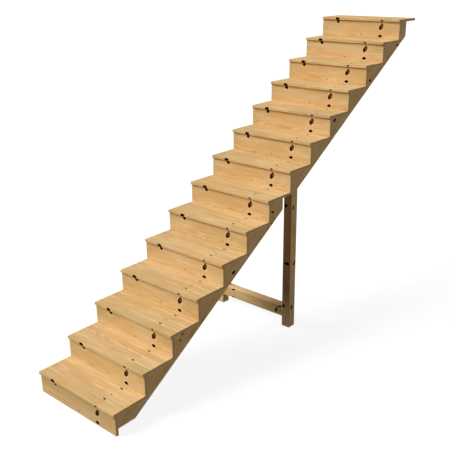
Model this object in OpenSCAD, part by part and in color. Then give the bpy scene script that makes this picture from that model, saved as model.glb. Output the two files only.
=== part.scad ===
// Straight outdoor timber stair: closed risers, two pairs of sawn strings and a
// two-legged trestle under the joint between the lower and the upper flight.
// +X runs across the stair, +Y climbs, +Z is up. The origin lies on the ground
// at the middle of the stair's width and run.

/* [Flight] */
// Number of steps in the whole stair
step_count = 14; // [10:1:18]
// Number of steps carried by the lower pair of strings
lower_steps = 7; // [4:1:9]
// Height of one step
rise = 170; // [140:1:205]
// Level distance from one nosing to the next
going = 265; // [220:1:320]
// Width of the stair, which is the length of every tread and riser
stair_width = 800; // [500:10:1200]

/* [Boards] */
// Thickness of a tread
tread_t = 22; // [18:1:40]
// Thickness of a riser
riser_t = 22; // [16:1:30]
// How far a tread runs out in front of the riser below it
nosing = 13; // [6:1:40]
// Rounding of the two front edges of a tread
tread_edge_r = 3; // [1:0.5:6]

/* [Strings] */
// Thickness of a string
string_t = 40; // [28:1:50]
// Timber left between the inner corner of a step and the string's lower edge
string_waist = 17; // [12:1:80]
// Height of the lower strings' level foot above the ground
string_foot_z = 50; // [20:1:90]
// Length of a lower string's top seat, under the tread where the flights meet
lower_seat = 150; // [90:1:210]
// Length of an upper string's top seat, under the top tread
upper_seat = 100; // [60:1:200]

/* [Trestle] */
// Side of a square post
post_w = 75; // [65:1:110]
// Depth of the cross rail between the posts
rail_h = 90; // [50:1:160]
// Clear height under the cross rail
rail_z = 87; // [30:1:300]

/* [Hidden] */
$fn = 48;

slope = rise / going;
pitch = atan(slope);

// A tread reaches under the whole thickness of the riser that stands on it.
tread_d = nosing + going + riser_t;
run = (step_count - 1) * going + tread_d;

// The line of the strings' lower edge passes this far under the ground, straight
// below the front of the first tread.
edge_drop = string_waist / cos(pitch) + tread_t + slope * (nosing + riser_t);

tread_names = [for (n = [1 : step_count]) str("tread_", n < 10 ? "0" : "", n)];
riser_names = [for (n = [1 : step_count]) str("riser_", n < 10 ? "0" : "", n)];

// Places along the stair, measured from the front of the first tread.
function nose_y(step) = (step - 1) * going;
function riser_y(step) = nose_y(step) + nosing;
function riser_back_y(step) = riser_y(step) + riser_t;
function tread_top_z(step) = step * rise;
function tread_under_z(step) = step * rise - tread_t;
function lower_edge_z(y) = slope * y - edge_drop;
function lower_edge_y(z) = (z + edge_drop) / slope;

// The two corners where a string's sawn edge turns up and over for one step.
function sawn_corners(step) = [
    [riser_back_y(step), tread_under_z(step - 1)],
    [riser_back_y(step), tread_under_z(step)]
];

// The sawn edge from one step to another, without the first corner's foot.
function sawn_edge(first, last) = [
    for (step = [first : last])
        for (i = [step == first ? 1 : 0 : 1]) sawn_corners(step)[i]
];

// Turns a profile drawn in (y, z) into a board of that thickness from x upwards.
module board_along_x(x, thickness) {
    translate([x, -run / 2, 0])
        rotate([90, 0, 90])
            linear_extrude(thickness)
                children();
}

// A plank's cross-section with both front edges rounded.
module rounded_front(depth, thickness, r) {
    translate([r, 0])
        square([depth - r, thickness]);
    translate([0, r])
        square([r, thickness - 2 * r]);
    for (z = [r, thickness - r])
        translate([r, z])
            circle(r);
}

module tread(step) {
    color("burlywood")
        board_along_x(-stair_width / 2, stair_width)
            translate([nose_y(step), tread_under_z(step)])
                rounded_front(tread_d, tread_t, tread_edge_r);
}

// The first riser stands on the ground, and every other one on the tread below.
module riser(step) {
    foot_z = step == 1 ? 0 : tread_top_z(step - 1);
    color("tan")
        board_along_x(-stair_width / 2, stair_width)
            translate([riser_y(step), foot_z])
                square([riser_t, tread_under_z(step) - foot_z]);
}

module lower_string_profile() {
    head_y = riser_back_y(lower_steps) + lower_seat;
    polygon(concat(
        [[riser_back_y(1), string_foot_z]],
        sawn_edge(1, lower_steps),
        [
            [head_y, tread_under_z(lower_steps)],
            [head_y, lower_edge_z(head_y)],
            [lower_edge_y(string_foot_z), string_foot_z]
        ]
    ));
}

module upper_string_profile() {
    toe_y = riser_back_y(lower_steps + 1);
    head_y = riser_back_y(step_count) + upper_seat;
    polygon(concat(
        [[toe_y, lower_edge_z(toe_y)]],
        sawn_edge(lower_steps + 1, step_count),
        [
            [head_y, tread_under_z(step_count)],
            [head_y, lower_edge_z(head_y)]
        ]
    ));
}

// side is -1 on the left and 1 on the right, seen by someone going up.
module string(side, upper) {
    x = side < 0 ? -stair_width / 2 : stair_width / 2 - string_t;
    color("peru")
        board_along_x(x, string_t)
            if (upper) upper_string_profile();
            else lower_string_profile();
}

// A post carries the toe of the upper string on a sloping shoulder. The rest of
// its thickness runs on up behind the string, to the tread above.
module post(side) {
    front_y = riser_back_y(lower_steps + 1);
    back_y = front_y + post_w;
    cheek_t = post_w - string_t;
    x = side < 0 ? -stair_width / 2 : stair_width / 2 - post_w;
    cheek_x = side < 0 ? -stair_width / 2 + string_t : stair_width / 2 - post_w;
    color("sandybrown") {
        board_along_x(x, post_w)
            polygon([
                [front_y, 0],
                [back_y, 0],
                [back_y, lower_edge_z(back_y)],
                [front_y, lower_edge_z(front_y)]
            ]);
        board_along_x(cheek_x, cheek_t)
            translate([front_y, 0])
                square([post_w, tread_under_z(lower_steps + 1)]);
    }
}

module cross_rail() {
    length = stair_width - 2 * post_w;
    color("sandybrown")
        board_along_x(-length / 2, length)
            translate([riser_back_y(lower_steps + 1), rail_z])
                square([post_w, rail_h]);
}

for (step = [1 : step_count]) {
    tread(step);
    riser(step);
}
string(-1, false);  // lower_left_string
string(1, false);  // lower_right_string
string(-1, true);  // upper_left_string
string(1, true);  // upper_right_string
post(-1);  // left_post
post(1);  // right_post
cross_rail();
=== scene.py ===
# Straight outdoor stair of knotty pine: planed boards with grain, knots and glued staves,
# and the steel angles and screws that hold them from below.
import math
import random

import bmesh
import bpy
from mathutils import Matrix, Vector, noise


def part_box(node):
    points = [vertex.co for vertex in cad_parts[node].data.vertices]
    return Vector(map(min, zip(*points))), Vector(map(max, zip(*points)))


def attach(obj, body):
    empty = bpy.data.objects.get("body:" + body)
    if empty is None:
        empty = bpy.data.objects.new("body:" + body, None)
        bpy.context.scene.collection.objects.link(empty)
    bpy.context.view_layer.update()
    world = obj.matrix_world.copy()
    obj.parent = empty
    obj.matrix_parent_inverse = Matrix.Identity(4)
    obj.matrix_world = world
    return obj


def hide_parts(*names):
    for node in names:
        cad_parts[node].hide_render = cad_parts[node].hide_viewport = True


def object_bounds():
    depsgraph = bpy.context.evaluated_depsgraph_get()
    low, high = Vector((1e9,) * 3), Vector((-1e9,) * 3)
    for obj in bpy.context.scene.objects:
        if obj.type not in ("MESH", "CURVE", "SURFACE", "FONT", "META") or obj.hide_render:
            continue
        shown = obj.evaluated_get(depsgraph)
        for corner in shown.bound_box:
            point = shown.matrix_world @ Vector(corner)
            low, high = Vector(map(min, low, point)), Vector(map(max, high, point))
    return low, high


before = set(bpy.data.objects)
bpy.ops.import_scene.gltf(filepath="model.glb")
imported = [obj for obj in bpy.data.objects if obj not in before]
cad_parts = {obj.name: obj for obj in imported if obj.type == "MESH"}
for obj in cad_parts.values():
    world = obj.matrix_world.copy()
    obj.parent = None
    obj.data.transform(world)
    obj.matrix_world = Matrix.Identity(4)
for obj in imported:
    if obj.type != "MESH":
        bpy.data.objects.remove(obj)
cadLow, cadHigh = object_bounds()
treadNames = sorted(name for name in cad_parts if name.startswith("tread_"))
riserNames = sorted(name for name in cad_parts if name.startswith("riser_"))
stringNames = ["lower_left_string", "lower_right_string", "upper_left_string", "upper_right_string"]
postNames = ["left_post", "right_post"]
firstTread, secondTread = (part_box(name) for name in treadNames[:2])
going = secondTread[0].y - firstTread[0].y
rise = secondTread[1].z - firstTread[1].z
pitch = math.atan2(rise, going)
print("frame loaded:", len(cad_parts), "boards")


def srgb(red, green, blue):
    channels = [value / 255 for value in (red, green, blue)]
    return [c / 12.92 if c <= 0.04045 else ((c + 0.055) / 1.055) ** 2.4 for c in channels] + [1]


# Camera, floor and light.
viewLook = {"place": (3.375, -4.168, 2.816), "turn": (69.49, 0.60, 40.84), "lens": 54.8, "sensor": 36}
floorLook = {
    "size": 400, "drop": 0.0006, "lift": 0.87,
    "colour": srgb(122, 119, 112), "seenColour": srgb(140, 140, 140),
}
lightLook = {
    "sunTurn": (48, 0, -45), "sunPower": 3.62, "sunSpread": 36,
    "fillTurn": (66, 0, 128), "fillPower": 0.72, "fillSpread": 60,
    "sky": 0.06, "mirrored": 0.35,
}


def addNode(tree, kind, inputs=(), **settings):
    made = tree.nodes.new(kind)
    for name, value in settings.items():
        setattr(made, name, value)
    for name, value in dict(inputs).items():
        if isinstance(value, bpy.types.NodeSocket):
            tree.links.new(value, made.inputs[name])
        else:
            made.inputs[name].default_value = value
    return made


def calc(tree, operation, *values):
    return addNode(tree, "ShaderNodeMath", enumerate(values), operation=operation).outputs[0]


def placeCamera():
    data = bpy.data.cameras.new("camera")
    data.lens = viewLook["lens"]
    data.sensor_width = viewLook["sensor"]
    camera = bpy.data.objects.new("camera", data)
    camera.location = viewLook["place"]
    camera.rotation_euler = [math.radians(angle) for angle in viewLook["turn"]]
    bpy.context.scene.collection.objects.link(camera)
    bpy.context.scene.camera = camera


def addSun(name, turn, power, spread):
    data = bpy.data.lights.new(name, "SUN")
    data.energy = power
    data.angle = math.radians(spread)
    lamp = bpy.data.objects.new(name, data)
    lamp.rotation_euler = [math.radians(angle) for angle in turn]
    bpy.context.scene.collection.objects.link(lamp)


def floorMaterial():
    material = bpy.data.materials.new("paleFloor")
    material.use_nodes = True
    tree = material.node_tree
    tree.nodes.clear()
    rays = addNode(tree, "ShaderNodeLightPath").outputs
    seen = rays["Is Camera Ray"]
    below = addNode(tree, "ShaderNodeNewGeometry").outputs["Backfacing"]
    dull = addNode(tree, "ShaderNodeBsdfDiffuse", {"Color": floorLook["colour"]})
    pale = addNode(tree, "ShaderNodeBsdfDiffuse", {"Color": floorLook["seenColour"]})
    lift = addNode(tree, "ShaderNodeEmission", {"Strength": floorLook["lift"]})
    bright = addNode(tree, "ShaderNodeAddShader", {0: pale.outputs[0], 1: lift.outputs[0]})
    top = addNode(tree, "ShaderNodeMixShader", {0: seen, 1: dull.outputs[0], 2: bright.outputs[0]})
    clear = addNode(tree, "ShaderNodeBsdfTransparent")
    both = addNode(tree, "ShaderNodeMixShader", {0: below, 1: top.outputs[0], 2: clear.outputs[0]})
    out = addNode(tree, "ShaderNodeOutputMaterial")
    tree.links.new(both.outputs[0], out.inputs["Surface"])
    return material


def layFloor():
    shape = bmesh.new()
    bmesh.ops.create_grid(shape, x_segments=1, y_segments=1, size=floorLook["size"] / 2)
    bmesh.ops.translate(shape, vec=(0, 0, cadLow.z - floorLook["drop"]), verts=shape.verts)
    mesh = bpy.data.meshes.new("floor")
    shape.to_mesh(mesh)
    shape.free()
    mesh.materials.append(floorMaterial())
    floor = bpy.data.objects.new("floor", mesh)
    bpy.context.scene.collection.objects.link(floor)


def lightScene():
    look = lightLook
    addSun("keySun", look["sunTurn"], look["sunPower"], look["sunSpread"])
    addSun("backFill", look["fillTurn"], look["fillPower"], look["fillSpread"])
    world = bpy.data.worlds.new("paleSky")
    bpy.context.scene.world = world
    world.use_nodes = True
    tree = world.node_tree
    tree.nodes.clear()
    rays = addNode(tree, "ShaderNodeLightPath").outputs
    mirrored = calc(tree, "MULTIPLY", rays["Is Glossy Ray"], look["mirrored"])
    seen = calc(tree, "MAXIMUM", rays["Is Camera Ray"], mirrored)
    strength = calc(tree, "MAXIMUM", seen, look["sky"])
    sky = addNode(tree, "ShaderNodeBackground", {"Color": (1, 1, 1, 1), "Strength": strength})
    out = addNode(tree, "ShaderNodeOutputWorld")
    tree.links.new(sky.outputs[0], out.inputs["Surface"])


placeCamera()
layFloor()
lightScene()
bpy.context.scene.view_settings.view_transform = "Standard"
print("camera, floor and light placed")


# Pine. Places are in metres along, across and through a board, from its middle.
pineLook = {
    "pale": srgb(232, 197, 143),
    "warm": srgb(226, 184, 124),
    "olive": srgb(212, 182, 122),
    "lateWood": srgb(200, 146, 84),
    # The pale colour of sap streaks and glue lines, also used for the painted highlight along the eased
    # arrises.
    "streakAndHighlight": srgb(246, 216, 166),
    "halo": srgb(240, 202, 148),
    "knotHeart": srgb(138, 84, 40),
    "knotEdge": srgb(134, 78, 34),
    "knotDark": srgb(30, 14, 6),
    "endWood": srgb(196, 152, 98),
    "roughness": (0.50, 0.66),
    "shine": 0.12,
    # How strongly the painted highlight is laid along the arrises.
    "arrisHighlightShare": 0.7,
    "endShare": 0.4, "endRings": 0.35,
    "bump": {"Strength": 0.25, "Distance": 0.0006}, "bumpRings": 0.5,
}
# How the noises run: their stretch along, across and through the board, and where they fade from and to.
grainLook = {
    "slowStretch": (2.6, 9, 9), "slowFade": (0.35, 0.65), "roughFade": (0.3, 0.7),
    "slowerStretch": (1.4, 5, 5), "slowerAside": (7.3, 1.1, 4.7), "slowerFade": (0.42, 0.66, 0, 0.8),
    "patchStretch": (5, 22, 22), "patchFade": (0.35, 0.7), "patchDark": (0.14, 0.55),
    "fibreStretch": (14, 700, 700), "fibreFade": (0.3, 0.75, 0.93, 1.05), "fibreRough": 0.7,
    "sapStretch": (4, 110, 60), "sapAside": (2.1, 3.7, 0.4), "sapFade": (0.58, 0.72, 0, 0.5),
    "fine": 2.0,
}
ringLook = {
    "width": 0.0062, "darken": (0.25, 0.86), "stop": (1.0, 0.9), "wander": 0.05,
    "driftStretch": (1.6, 5, 5), "drift": 0.055, "driftBack": -0.027,
    "rippleStretch": (6, 60, 60), "ripple": 0.0035,
}
# Glued staves: seams across the board and finger joints along it.
staveLook = {
    "seams": (-0.070, 0.008, 0.082), "seamHalf": 0.0060, "seamCore": 0.0005,
    "joints": (-0.268, -0.018, 0.238), "tone": 0.07,
    "leftFade": (0.02, -0.05), "rightFade": (-0.01, 0.07), "leastSeam": 0.12,
    "breakStretch": (9, 40, 4), "breakFade": (0.30, 0.55, 0.35, 1.0),
}
# Distances from a knot's middle are in its own half sizes.
knotLook = {
    "raggedStretch": (110, 110, 40), "raggedFade": (0.3, 0.7, 0.85, 1.18),
    "pushFade": (3.2, 0.6), "pushShare": 0.9, "nowhere": 9.0,
    "halo": (2.0, 1.25, 0, 0.6), "edge": (1.22, 1.05, 0, 0.8), "inside": (1.08, 0.92),
    "heart": (0.60, 0.42), "heartRings": 34.0, "heartRingShare": 0.12, "heartShare": 0.84,
}
# A knot is its middle, its half sizes and its lean in degrees. A ringed one also has how far
# its brown heart is off its middle.
treadKnots = [
    ((-0.238, -0.150, -0.001), (0.0190, 0.0080, 0.0135), 0),
    ((0.224, -0.150, 0.000), (0.0135, 0.0050, 0.0065), 0),
    ((0.216, 0.084, 0.011), (0.0130, 0.0060, 0.0060), -14, (0.001, 0)),
    ((0.215, -0.065, 0.011), (0.0130, 0.0060, 0.0060), -14, (0.001, 0)),
    ((0.211, -0.003, 0.011), (0.0080, 0.0040, 0.0050), -10),
]
riserKnots = [
    ((-0.232, 0.061, 0.000), (0.0160, 0.0150, 0.0300), 10),
    ((0.213, 0.072, 0.000), (0.0110, 0.0060, 0.0200), 0),
    ((0.218, 0.028, 0.000), (0.0172, 0.0290, 0.0400), -24, (0.0040, 0.0050)),
    ((0.211, -0.052, 0.000), (0.0190, 0.0130, 0.0300), 8),
    ((0.012, -0.050, -0.011), (0.0060, 0.0034, 0.0050), 20),
]


def vectorCalc(tree, operation, *values):
    made = addNode(tree, "ShaderNodeVectorMath", enumerate(values), operation=operation)
    return made.outputs["Value" if operation == "LENGTH" else "Vector"]


def fade(tree, value, start, end, low=0.0, high=1.0):
    inputs = {"Value": value, "From Min": start, "From Max": end, "To Min": low, "To Max": high}
    return addNode(tree, "ShaderNodeMapRange", inputs, interpolation_type="SMOOTHSTEP").outputs["Result"]


def blend(tree, factor, first, second, mode="MIX"):
    inputs = {0: factor, 6: first, 7: second}
    return addNode(tree, "ShaderNodeMix", inputs, data_type="RGBA", blend_type=mode).outputs[2]


def tinted(tree, colour, tone):
    grey = addNode(tree, "ShaderNodeCombineXYZ", {0: tone, 1: tone, 2: tone}).outputs[0]
    return blend(tree, 1.0, colour, grey, "MULTIPLY")


def noiseAt(tree, position, stretch, detail=1.0, rough=0.5):
    stretched = vectorCalc(tree, "MULTIPLY", position, stretch)
    inputs = {"Vector": stretched, "Scale": 1.0, "Detail": detail, "Roughness": rough}
    return addNode(tree, "ShaderNodeTexNoise", inputs).outputs["Fac"]


def attribute(tree, name, output):
    return addNode(tree, "ShaderNodeAttribute", attribute_name=name).outputs[output]


def makeKnotGroup():
    group = bpy.data.node_groups.new("knot", "ShaderNodeTree")
    for name in ("Position", "Middle", "Per Size"):
        group.interface.new_socket(name, in_out="INPUT", socket_type="NodeSocketVector")
    group.interface.new_socket("Lean", in_out="INPUT", socket_type="NodeSocketFloat")
    group.interface.new_socket("Distance", in_out="OUTPUT", socket_type="NodeSocketFloat")
    given = group.nodes.new("NodeGroupInput").outputs
    offset = vectorCalc(group, "SUBTRACT", given["Position"], given["Middle"])
    inputs = {"Vector": offset, "Angle": given["Lean"]}
    turned = addNode(group, "ShaderNodeVectorRotate", inputs, rotation_type="Z_AXIS").outputs[0]
    scaled = vectorCalc(group, "MULTIPLY", turned, given["Per Size"])
    ragged = noiseAt(group, given["Position"], knotLook["raggedStretch"])
    ragged = fade(group, ragged, *knotLook["raggedFade"])
    far = calc(group, "MULTIPLY", vectorCalc(group, "LENGTH", scaled), ragged)
    result = group.nodes.new("NodeGroupOutput")
    group.links.new(far, result.inputs["Distance"])
    return group


knotGroup = makeKnotGroup()


def knotDistance(tree, place, middle, sizes, lean):
    one = tree.nodes.new("ShaderNodeGroup")
    one.node_tree = knotGroup
    one.inputs["Middle"].default_value = middle
    one.inputs["Per Size"].default_value = [1 / size for size in sizes]
    one.inputs["Lean"].default_value = math.radians(-lean)
    tree.links.new(place, one.inputs["Position"])
    return one.outputs["Distance"]


def knotField(tree, place, knots):
    look = knotLook
    nearest = nearestHeart = calc(tree, "ADD", look["nowhere"], 0.0)
    push = calc(tree, "ADD", 0.0, 0.0)
    for middle, sizes, lean, *heartShift in knots:
        distance = knotDistance(tree, place, middle, sizes, lean)
        mostPush = min(sizes[:2]) * look["pushShare"]
        push = calc(tree, "ADD", push, fade(tree, distance, *look["pushFade"], 0, mostPush))
        nearest = calc(tree, "MINIMUM", nearest, distance)
        for across, up in heartShift:
            moved = (middle[0] + across, middle[1] + up, middle[2])
            toHeart = knotDistance(tree, place, moved, sizes, lean)
            nearestHeart = calc(tree, "MINIMUM", nearestHeart, toHeart)
    return nearest, nearestHeart, push


def yearRings(tree, place, own, seed, heart, push):
    # Cylinders round the tree's heart, which wanders, and which the knots push aside.
    look = ringLook
    drift = noiseAt(tree, own, look["driftStretch"])
    drift = calc(tree, "MULTIPLY_ADD", drift, look["drift"], look["driftBack"])
    ripple = calc(tree, "MULTIPLY", noiseAt(tree, own, look["rippleStretch"]), look["ripple"])
    alongAcross = addNode(tree, "ShaderNodeSeparateXYZ", {0: place}).outputs
    shift = addNode(tree, "ShaderNodeSeparateXYZ", {0: seed}).outputs
    wander = calc(tree, "MULTIPLY", calc(tree, "FRACT", shift[1]), look["wander"])
    sideways = calc(tree, "ADD", calc(tree, "SUBTRACT", alongAcross[1], heart[0]), wander)
    deep = calc(tree, "ADD", calc(tree, "SUBTRACT", alongAcross[2], heart[1]), drift)
    squares = calc(tree, "MULTIPLY_ADD", sideways, sideways, calc(tree, "MULTIPLY", deep, deep))
    radius = calc(tree, "ADD", calc(tree, "ADD", calc(tree, "SQRT", squares), push), ripple)
    year = calc(tree, "FRACT", calc(tree, "DIVIDE", radius, look["width"]))
    return calc(tree, "MULTIPLY", fade(tree, year, *look["darken"]), fade(tree, year, *look["stop"]))


def staveColour(tree, colour, place, own, seed):
    # Each stave has its own tone, and pale glue lines show between them away from the middle.
    look = staveLook
    split = addNode(tree, "ShaderNodeSeparateXYZ", {0: place}).outputs
    row = column = calc(tree, "ADD", 0.0, 0.0)
    seam = calc(tree, "ADD", 1.0, 0.0)
    for edge in look["seams"]:
        row = calc(tree, "ADD", row, calc(tree, "GREATER_THAN", split[1], edge))
        toEdge = calc(tree, "ABSOLUTE", calc(tree, "SUBTRACT", split[1], edge))
        seam = calc(tree, "MINIMUM", seam, toEdge)
    for joint in look["joints"]:
        column = calc(tree, "ADD", column, calc(tree, "GREATER_THAN", split[0], joint))
    cell = addNode(tree, "ShaderNodeCombineXYZ", {0: row, 1: column, 2: 0.5}).outputs[0]
    cell = vectorCalc(tree, "ADD", cell, seed)
    chance = addNode(tree, "ShaderNodeTexWhiteNoise", {"Vector": cell}, noise_dimensions="3D").outputs[0]
    tone = calc(tree, "MULTIPLY_ADD", chance, look["tone"] * 2, 1 - look["tone"])
    colour = tinted(tree, colour, tone)
    leftJoint, rightJoint = look["joints"][:2]
    left = fade(tree, split[0], *(leftJoint + offset for offset in look["leftFade"]))
    right = fade(tree, split[0], *(rightJoint + offset for offset in look["rightFade"]))
    shown = calc(tree, "ADD", calc(tree, "MAXIMUM", left, right), look["leastSeam"])
    broken = fade(tree, noiseAt(tree, own, look["breakStretch"]), *look["breakFade"])
    line = fade(tree, seam, look["seamHalf"], look["seamCore"])
    line = calc(tree, "MULTIPLY", calc(tree, "MULTIPLY", line, shown), broken)
    return blend(tree, line, colour, pineLook["streakAndHighlight"])


def plainPine(tree, place, seed, own, late, grain, glued):
    # Tone, rings, fibre and pale lines, without knots.
    look = grainLook
    slow = noiseAt(tree, own, look["slowStretch"], look["fine"])
    slower = noiseAt(tree, vectorCalc(tree, "ADD", own, look["slowerAside"]), look["slowerStretch"])
    colour = blend(tree, fade(tree, slow, *look["slowFade"]), pineLook["pale"], pineLook["warm"])
    colour = blend(tree, fade(tree, slower, *look["slowerFade"]), colour, pineLook["olive"])
    dark = [share * grain for share in look["patchDark"]]
    patchy = fade(tree, noiseAt(tree, own, look["patchStretch"]), *look["patchFade"], *dark)
    colour = blend(tree, calc(tree, "MULTIPLY", late, patchy), colour, pineLook["lateWood"])
    fibre = noiseAt(tree, own, look["fibreStretch"], look["fine"], look["fibreRough"])
    fibre = fade(tree, fibre, *look["fibreFade"])
    colour = tinted(tree, colour, fibre)
    aside = vectorCalc(tree, "ADD", own, look["sapAside"])
    sapLines = fade(tree, noiseAt(tree, aside, look["sapStretch"]), *look["sapFade"])
    colour = blend(tree, sapLines, colour, pineLook["streakAndHighlight"])
    if glued:
        colour = staveColour(tree, colour, place, own, seed)
    return colour, slow, fibre


def knotColour(tree, colour, nearest, nearestHeart, inside):
    look = knotLook
    colour = blend(tree, fade(tree, nearest, *look["halo"]), colour, pineLook["halo"])
    colour = blend(tree, fade(tree, nearest, *look["edge"]), colour, pineLook["knotEdge"])
    colour = blend(tree, inside, colour, pineLook["knotDark"])
    growth = calc(tree, "SINE", calc(tree, "MULTIPLY", nearestHeart, look["heartRings"]))
    growth = calc(tree, "MULTIPLY_ADD", growth, look["heartRingShare"], look["heartShare"])
    heartTone = calc(tree, "MULTIPLY", fade(tree, nearestHeart, *look["heart"]), growth)
    return blend(tree, heartTone, colour, pineLook["knotHeart"])


def makePine(name, knots, heart, grain, glued=False):
    look = pineLook
    material = bpy.data.materials.new(name)
    material.use_nodes = True
    tree = material.node_tree
    shader = tree.nodes["Principled BSDF"]
    place = attribute(tree, "boardPlace", "Vector")
    seed = attribute(tree, "boardSeed", "Vector")
    own = vectorCalc(tree, "ADD", place, seed)
    nearest, nearestHeart, push = knotField(tree, place, knots)
    late = yearRings(tree, place, own, seed, heart, push)
    colour, slow, fibre = plainPine(tree, place, seed, own, late, grain, glued)
    inside = fade(tree, nearest, *knotLook["inside"])
    colour = knotColour(tree, colour, nearest, nearestHeart, inside)
    # Painted highlight: the eased arrises are lightened towards the pale streak colour.
    arris = calc(tree, "MULTIPLY", attribute(tree, "arris", "Fac"), look["arrisHighlightShare"])
    colour = blend(tree, arris, colour, look["streakAndHighlight"])
    endShare = calc(tree, "MULTIPLY_ADD", late, look["endRings"], look["endShare"])
    endCut = calc(tree, "MULTIPLY", attribute(tree, "endCut", "Fac"), endShare)
    colour = blend(tree, endCut, colour, look["endWood"])
    tree.links.new(colour, shader.inputs["Base Color"])

    rough = fade(tree, slow, *grainLook["roughFade"], *look["roughness"])
    tree.links.new(rough, shader.inputs["Roughness"])
    shine = calc(tree, "MULTIPLY_ADD", inside, -look["shine"], look["shine"])
    tree.links.new(shine, shader.inputs["Specular IOR Level"])
    height = calc(tree, "MULTIPLY_ADD", late, look["bumpRings"], fibre)
    bump = addNode(tree, "ShaderNodeBump", {"Height": height, **look["bump"]})
    tree.links.new(bump.outputs[0], shader.inputs["Normal"])
    return material


# Every board is the plain one with eased arrises, its faces cut into a net and worn a little.
boardLook = {
    "cell": 0.008, "arris": 0.0014, "edgeCut": 0.0026, "sharpTurn": 50, "slide": 0.004,
    "merge": 0.00001, "flatTurn": 0.01, "onPlane": 0.000001, "arrisCosine": 0.985,
    "wave": 0.00030, "waveStretch": (5, 30, 30), "seedRange": (3, 60),
    "knotRim": 0.00035, "rimAt": 1.15, "rimWidth": 0.35, "knotDip": 0.0005, "dipReach": 0.9, "knotReach": 4,
}
# The first random seed of each kind of board.
seedNumbers = {"treads": 100, "risers": 200, "strings": 300, "posts": 400, "rail": 410}
towardX, towardY, towardZ = (Vector(axis) for axis in ((1, 0, 0), (0, 1, 0), (0, 0, 1)))
upSlope = Vector((0, math.cos(pitch), math.sin(pitch)))
offSlope = Vector((0, -math.sin(pitch), math.cos(pitch)))


def middleOf(node):
    low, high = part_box(node)
    return (low + high) / 2


def easeEdges(shape, edges, offset, segments):
    bmesh.ops.bevel(
        shape, geom=edges, offset=offset, segments=segments, profile=0.5, affect="EDGES", material=-1)


def cutBoard(node, along, across, through):
    # A merged copy of the plain board, with its arrises eased and its faces cut into a net.
    look = boardLook
    shape = bmesh.new()
    shape.from_mesh(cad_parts[node].data)
    bmesh.ops.remove_doubles(shape, verts=shape.verts, dist=look["merge"])
    bmesh.ops.dissolve_limit(shape, angle_limit=look["flatTurn"], verts=shape.verts, edges=shape.edges)
    sharp = [edge for edge in shape.edges if edge.calc_face_angle(0) > math.radians(look["sharpTurn"])]
    easeEdges(shape, sharp, look["arris"], 2)
    for direction in (along, across, through):
        reach = [vert.co.dot(direction) for vert in shape.verts]
        low, high = min(reach), max(reach)
        spots = [low + look["edgeCut"], high - look["edgeCut"]]
        if direction is not through:
            cells = round((high - low) / look["cell"])
            spots += [low + (high - low) * index / cells for index in range(1, cells)]
        for spot in spots:
            everything = shape.verts[:] + shape.edges[:] + shape.faces[:]
            plane = {"plane_co": direction * spot, "plane_no": direction}
            bmesh.ops.bisect_plane(shape, geom=everything, dist=look["onPlane"], **plane)
    return shape


def reliefAt(place, seed, knots):
    # How far the planed surface lies under the board's true face: slow waves, and a rim and a dip
    # at each knot.
    look = boardLook
    spot = Vector([part * stretch for part, stretch in zip(place, look["waveStretch"])]) + seed
    depth = look["knotRim"] + look["wave"] * (0.5 + 0.5 * noise.noise(spot))
    for middle, sizes, lean, *_ in knots:
        offset = place - Vector(middle)
        if offset.length > look["knotReach"] * max(sizes):
            continue
        offset.rotate(Matrix.Rotation(math.radians(-lean), 3, "Z"))
        far = Vector([part / size for part, size in zip(offset, sizes)]).length
        depth -= look["knotRim"] * math.exp(-((far - look["rimAt"]) / look["rimWidth"]) ** 2)
        depth += look["knotDip"] * max(0, 1 - far / look["dipReach"])
    return depth


def finishBoard(node, shape, axes, middle, knots, slide, material, seedNumber):
    # Wears the board a little, stores where each point lies in the timber, and shows the board in
    # place of the plain one.
    look = boardLook
    chance = random.Random(seedNumber)
    seed = Vector([chance.uniform(*look["seedRange"]) for _ in range(3)])
    slip = Vector((chance.uniform(-slide, slide), 0, 0))
    turn = Matrix(axes)
    shape.normal_update()
    shape.verts.index_update()
    places = [turn @ (vert.co - middle) + slip for vert in shape.verts]
    worn = [vert.normal * reliefAt(place, seed, knots) for vert, place in zip(shape.verts, places)]
    # The arris mask marks points on the eased edges, where the pine material paints a highlight.
    arris = []
    for vert in shape.verts:
        turned = any(face.normal.dot(vert.normal) < look["arrisCosine"] for face in vert.link_faces)
        arris.append(float(turned))
    endCut = [face.normal.dot(axes[0]) ** 2 for face in shape.faces]
    for vert, inward in zip(shape.verts, worn):
        vert.co -= inward
    mesh = bpy.data.meshes.new(node + "_board")
    shape.to_mesh(mesh)
    shape.free()
    for name, kind, domain, values in (
        ("boardPlace", "FLOAT_VECTOR", "POINT", [part for place in places for part in place]),
        ("boardSeed", "FLOAT_VECTOR", "POINT", list(seed) * len(places)),
        ("arris", "FLOAT", "POINT", arris),
        ("endCut", "FLOAT", "FACE", endCut),
    ):
        store = mesh.attributes.new(name, kind, domain)
        store.data.foreach_set("vector" if kind == "FLOAT_VECTOR" else "value", values)
    mesh.shade_smooth()
    mesh.materials.append(material)
    board = bpy.data.objects.new(node + "_board", mesh)
    bpy.context.scene.collection.objects.link(board)
    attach(board, "root")
    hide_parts(node)


def makeBoards(names, axes, knots, slide, material, seedNumber):
    # Boards of one shape: the first is cut, and the others are copies of it in their own places.
    first = cutBoard(names[0], *axes)
    start = middleOf(names[0])
    for index, name in enumerate(names):
        shape = first.copy()
        bmesh.ops.translate(shape, vec=middleOf(name) - start, verts=shape.verts)
        finishBoard(name, shape, axes, middleOf(name), knots, slide, material, seedNumber + index)
    first.free()


flatAxes = (towardX, towardY, towardZ)
uprightAxes = (towardX, towardZ, towardY)
treadPine = makePine("treadPine", treadKnots, (0.02, -0.075), 1.0, glued=True)
riserPine = makePine("riserPine", riserKnots, (-0.03, 0.060), 1.0)
slide = boardLook["slide"]
makeBoards(treadNames, flatAxes, treadKnots, slide, treadPine, seedNumbers["treads"])
print("treads made:", len(treadNames))
makeBoards(riserNames, uprightAxes, riserKnots, slide, riserPine, seedNumbers["risers"])
print("risers made:", len(riserNames))


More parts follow.
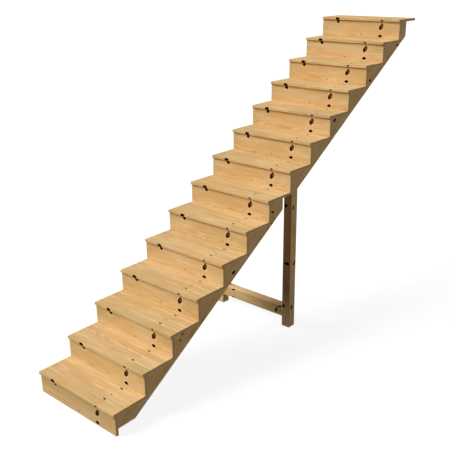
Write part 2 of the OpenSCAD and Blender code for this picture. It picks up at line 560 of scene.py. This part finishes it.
# The strings share one set of knots, placed along the slope.
def stringKnot(run, height, sizes, lean, *heartShift):
    # run is level, from the stair's front, and height is upright, above the string's lower edge.
    along = run / math.cos(pitch) + height * math.sin(pitch)
    return ((along, height * math.cos(pitch), 0.0), sizes, lean, *heartShift)


stringKnots = [
    stringKnot(0.650, 0.130, (0.0180, 0.0075, 0.06), -8),
    stringKnot(0.620, 0.106, (0.0140, 0.0070, 0.06), -8),
    stringKnot(1.187, 0.053, (0.0200, 0.0110, 0.06), -20),
    stringKnot(1.646, 0.097, (0.0110, 0.0210, 0.06), 30, (0.0020, 0.0040)),
    stringKnot(1.641, 0.012, (0.0110, 0.0090, 0.06), 0),
    stringKnot(2.461, 0.142, (0.0190, 0.0150, 0.06), 25),
    stringKnot(2.995, 0.053, (0.0190, 0.0110, 0.06), -25),
    stringKnot(3.439, 0.024, (0.0180, 0.0110, 0.06), -20),
]


def lowerEdgeStart():
    # The height of the strings' lower edge under the stair's front: its line passes the low corner
    # of an upper string.
    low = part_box("upper_left_string")[0]
    return low.z - (low.y - cadLow.y) * math.tan(pitch)


slopeAxes = (upSlope, offSlope, towardX)
stringPine = makePine("stringPine", stringKnots, (0.05, -0.055), 2.0)
seedNumber = seedNumbers["strings"]
for pair in (stringNames[:2], stringNames[2:]):
    first = cutBoard(pair[0], *slopeAxes)
    for name in pair:
        middle = Vector((middleOf(name).x, cadLow.y, lowerEdgeStart()))
        shape = first.copy()
        bmesh.ops.translate(shape, vec=middleOf(name) - middleOf(pair[0]), verts=shape.verts)
        finishBoard(name, shape, slopeAxes, middle, stringKnots, 0, stringPine, seedNumber)
        seedNumber += 1
    first.free()
print("strings made: 4")


# The trestle: two posts and the rail between them.
postKnots = [
    ((0.178, -0.006, 0.0375), (0.0210, 0.0130, 0.0150), 8),
    ((0.569, 0.018, 0.0375), (0.0200, 0.0110, 0.0150), 28),
    ((1.052, -0.012, 0.0375), (0.0200, 0.0100, 0.0150), 10),
    ((0.185, -0.0375, -0.018), (0.0170, 0.0150, 0.0110), 0),
    ((0.573, -0.0375, 0.004), (0.0130, 0.0150, 0.0230), 0),
    ((1.065, -0.0375, -0.018), (0.0140, 0.0150, 0.0120), 0),
]
railKnots = [
    ((-0.205, 0.034, -0.0375), (0.0190, 0.0070, 0.0300), 14),
    ((-0.210, -0.041, -0.0375), (0.0110, 0.0080, 0.0300), 0),
    ((0.267, -0.004, -0.0375), (0.0110, 0.0230, 0.0300), -20, (0.0020, 0.0040)),
    ((0.300, 0.036, -0.0375), (0.0210, 0.0070, 0.0300), 18),
]
postAxes = (towardZ, towardY, towardX)
postPine = makePine("postPine", postKnots, (0.01, -0.010), 1.5)
railPine = makePine("railPine", railKnots, (-0.02, 0.050), 1.5)
for seedNumber, name in enumerate(postNames, seedNumbers["posts"]):
    middle = middleOf(name)
    middle.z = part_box(name)[0].z
    shape = cutBoard(name, *postAxes)
    finishBoard(name, shape, postAxes, middle, postKnots, 0, postPine, seedNumber)
makeBoards(["cross_rail"], uprightAxes, railKnots, 0, railPine, seedNumbers["rail"])
print("trestle made")


# Steel fixings, all below or behind the boards.
zincLook = {
    "bright": srgb(214, 216, 218), "dull": srgb(178, 181, 184), "metal": 0.35, "roughness": (0.36, 0.54),
    "cloudStretch": (240, 240, 240), "cloudDetail": 2.0, "cloudFade": (0.35, 0.65), "roughFade": (0.3, 0.7),
    "sharpTurn": 38,
}
# Turned parts start as a disc, whose upper face is pushed on in steps of (inset, rise).
screwLook = {
    "corners": 24, "radius": 0.0040, "start": 0, "thick": 0.0006,
    "steps": ((0.0004, 0.0010), (0.0010, 0.0007), (0.0007, 0.0001)),
    "starDraw": 0.72, "starDepth": 0.0013,
}
washerLook = {"corners": 32, "radius": 0.0120, "start": 0, "thick": 0.0017, "steps": ((0.0004, 0.0003),)}
headLook = {"corners": 6, "radius": 0.0075, "start": 0.0019, "thick": 0.0049, "steps": ((0.0008, 0.0006),)}
angleLook = {
    "leg": 0.040, "width": 0.030, "sheet": 0.0025, "round": 0.006,
    "back": 0.120, "endGap": 0.040, "screws": (0.013, 0.030),
}
riserScrewLook = {"across": (-0.300, -0.100, 0.100, 0.300), "behindNose": 0.289}
coachLook = {"behindPostFront": 0.0375, "heights": (1.225, 1.295)}
plateLook = {
    "length": 0.100, "width": 0.030, "sheet": 0.0025, "round": 0.006,
    "screws": (-0.040, -0.018, 0.018, 0.040),
}
roundSegments = 4
sameSpot = 0.0001


def makeZinc():
    look = zincLook
    material = bpy.data.materials.new("zincSteel")
    material.use_nodes = True
    tree = material.node_tree
    shader = tree.nodes["Principled BSDF"]
    place = addNode(tree, "ShaderNodeTexCoord").outputs["Object"]
    cloudy = noiseAt(tree, place, look["cloudStretch"], look["cloudDetail"])
    colour = blend(tree, fade(tree, cloudy, *look["cloudFade"]), look["bright"], look["dull"])
    tree.links.new(colour, shader.inputs["Base Color"])
    rough = fade(tree, cloudy, *look["roughFade"], *look["roughness"])
    tree.links.new(rough, shader.inputs["Roughness"])
    shader.inputs["Metallic"].default_value = look["metal"]
    return material


def turnedPart(look):
    shape = bmesh.new()
    radius, thick = look["radius"], look["thick"]
    lifted = Matrix.Translation((0, 0, look["start"] + thick / 2))
    bmesh.ops.create_cone(
        shape, cap_ends=True, segments=look["corners"], radius1=radius, radius2=radius, depth=thick,
        matrix=lifted)
    top = max(shape.faces, key=lambda face: face.calc_center_median().z)
    for inset, lift in look["steps"]:
        bmesh.ops.inset_individual(shape, faces=[top], thickness=inset, depth=lift)
    if "starDraw" in look:
        drawn = look["starDraw"]
        bmesh.ops.scale(shape, vec=(drawn, drawn, 1), verts=list(top.verts)[::2])
        bmesh.ops.inset_individual(shape, faces=[top], thickness=0, depth=-look["starDepth"])
    return shape


def bentAngle():
    # Its corner is at the origin: one leg lies along X, the other hangs down.
    look = angleLook
    leg, sheet, width = look["leg"], look["sheet"], look["width"]
    shape = bmesh.new()
    outline = ((0, 0), (leg, 0), (leg, -sheet), (sheet, -sheet), (sheet, -leg), (0, -leg))
    side = shape.faces.new([shape.verts.new((across, -width / 2, up)) for across, up in outline])
    pushed = bmesh.ops.extrude_face_region(shape, geom=[side])["geom"]
    moved = [part for part in pushed if isinstance(part, bmesh.types.BMVert)]
    bmesh.ops.translate(shape, vec=(0, width, 0), verts=moved)
    tips = []
    for edge in shape.edges:
        first, second = (vert.co for vert in edge.verts)
        atTip = min(first.x, second.x) > leg - sameSpot or max(first.z, second.z) < sameSpot - leg
        if atTip and abs(first.y - second.y) < sameSpot:
            tips.append(edge)
    easeEdges(shape, tips, look["round"], roundSegments)
    return shape


def flatPlate():
    look = plateLook
    shape = bmesh.new()
    size = Matrix.Diagonal((look["length"], look["width"], look["sheet"], 1))
    bmesh.ops.create_cube(shape, size=1, matrix=Matrix.Translation((0, 0, look["sheet"] / 2)) @ size)
    corners = []
    for edge in shape.edges:
        first, second = (vert.co for vert in edge.verts)
        if abs(first.z - second.z) > sameSpot:
            corners.append(edge)
    easeEdges(shape, corners, look["round"], roundSegments)
    return shape


def stamp(shape, pattern, place):
    copy = pattern.copy()
    bmesh.ops.transform(copy, matrix=place, verts=copy.verts)
    mesh = bpy.data.meshes.new("stamp")
    copy.to_mesh(mesh)
    copy.free()
    shape.from_mesh(mesh)
    bpy.data.meshes.remove(mesh)


def facing(spot, outward):
    return Matrix.Translation(spot) @ outward.to_track_quat("Z", "Y").to_matrix().to_4x4()


def finishSteel(shape, name, material):
    bmesh.ops.recalc_face_normals(shape, faces=shape.faces)
    for face in shape.faces:
        face.smooth = True
    for edge in shape.edges:
        edge.smooth = edge.calc_face_angle(0) < math.radians(zincLook["sharpTurn"])
    mesh = bpy.data.meshes.new(name)
    shape.to_mesh(mesh)
    shape.free()
    mesh.materials.append(material)
    piece = bpy.data.objects.new(name, mesh)
    bpy.context.scene.collection.objects.link(piece)
    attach(piece, "root")


zincSteel = makeZinc()
screw, washer, boltHead = (turnedPart(look) for look in (screwLook, washerLook, headLook))
angle, plate = bentAngle(), flatPlate()

angles, angleScrews = bmesh.new(), bmesh.new()
stringEnds = [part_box(name)[1].y for name in stringNames[::2]]
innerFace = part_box("lower_right_string")[0].x
for treadName, riserName in zip(treadNames, riserNames):
    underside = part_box(treadName)[0].z
    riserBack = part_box(riserName)[1].y
    stringEnd = min(end for end in stringEnds if end > riserBack + angleLook["endGap"])
    back = riserBack + min(angleLook["back"], stringEnd - riserBack - angleLook["endGap"])
    for side in (-1, 1):
        corner = Vector((side * innerFace, back, underside))
        stamp(angles, angle, Matrix.Translation(corner) @ Matrix.Diagonal((-side, 1, 1, 1)))
        for far in angleLook["screws"]:
            under = corner + Vector((-side * far, 0, -angleLook["sheet"]))
            beside = corner + Vector((-side * angleLook["sheet"], 0, -far))
            stamp(angleScrews, screw, facing(under, -towardZ))
            stamp(angleScrews, screw, facing(beside, -side * towardX))
finishSteel(angles, "steel_angles", zincSteel)
finishSteel(angleScrews, "angle_screws", zincSteel)
print("angles made:", 2 * len(treadNames))

riserScrews = bmesh.new()
for name in treadNames[:-1]:
    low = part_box(name)[0]
    for across in riserScrewLook["across"]:
        spot = Vector((across, low.y + riserScrewLook["behindNose"], low.z))
        stamp(riserScrews, screw, facing(spot, -towardZ))
finishSteel(riserScrews, "riser_screws", zincSteel)

coachScrews, plates, plateScrews = bmesh.new(), bmesh.new(), bmesh.new()
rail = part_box("cross_rail")
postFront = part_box("right_post")[0].y
for side in (-1, 1):
    for height in coachLook["heights"]:
        spot = Vector((side * rail[1].x, postFront + coachLook["behindPostFront"], height))
        stamp(coachScrews, washer, facing(spot, -side * towardX))
        stamp(coachScrews, boltHead, facing(spot, -side * towardX))
    middle = Vector((side * rail[1].x, rail[1].y, (rail[0].z + rail[1].z) / 2))
    stamp(plates, plate, Matrix.Translation(middle) @ Matrix.Rotation(math.radians(-90), 4, "X"))
    for far in plateLook["screws"]:
        stamp(plateScrews, screw, facing(middle + Vector((far, plateLook["sheet"], 0)), towardY))
finishSteel(coachScrews, "coach_screws", zincSteel)
finishSteel(plates, "rail_plates", zincSteel)
finishSteel(plateScrews, "plate_screws", zincSteel)
for pattern in (screw, washer, boltHead, angle, plate):
    pattern.free()
print("screws and plates made")
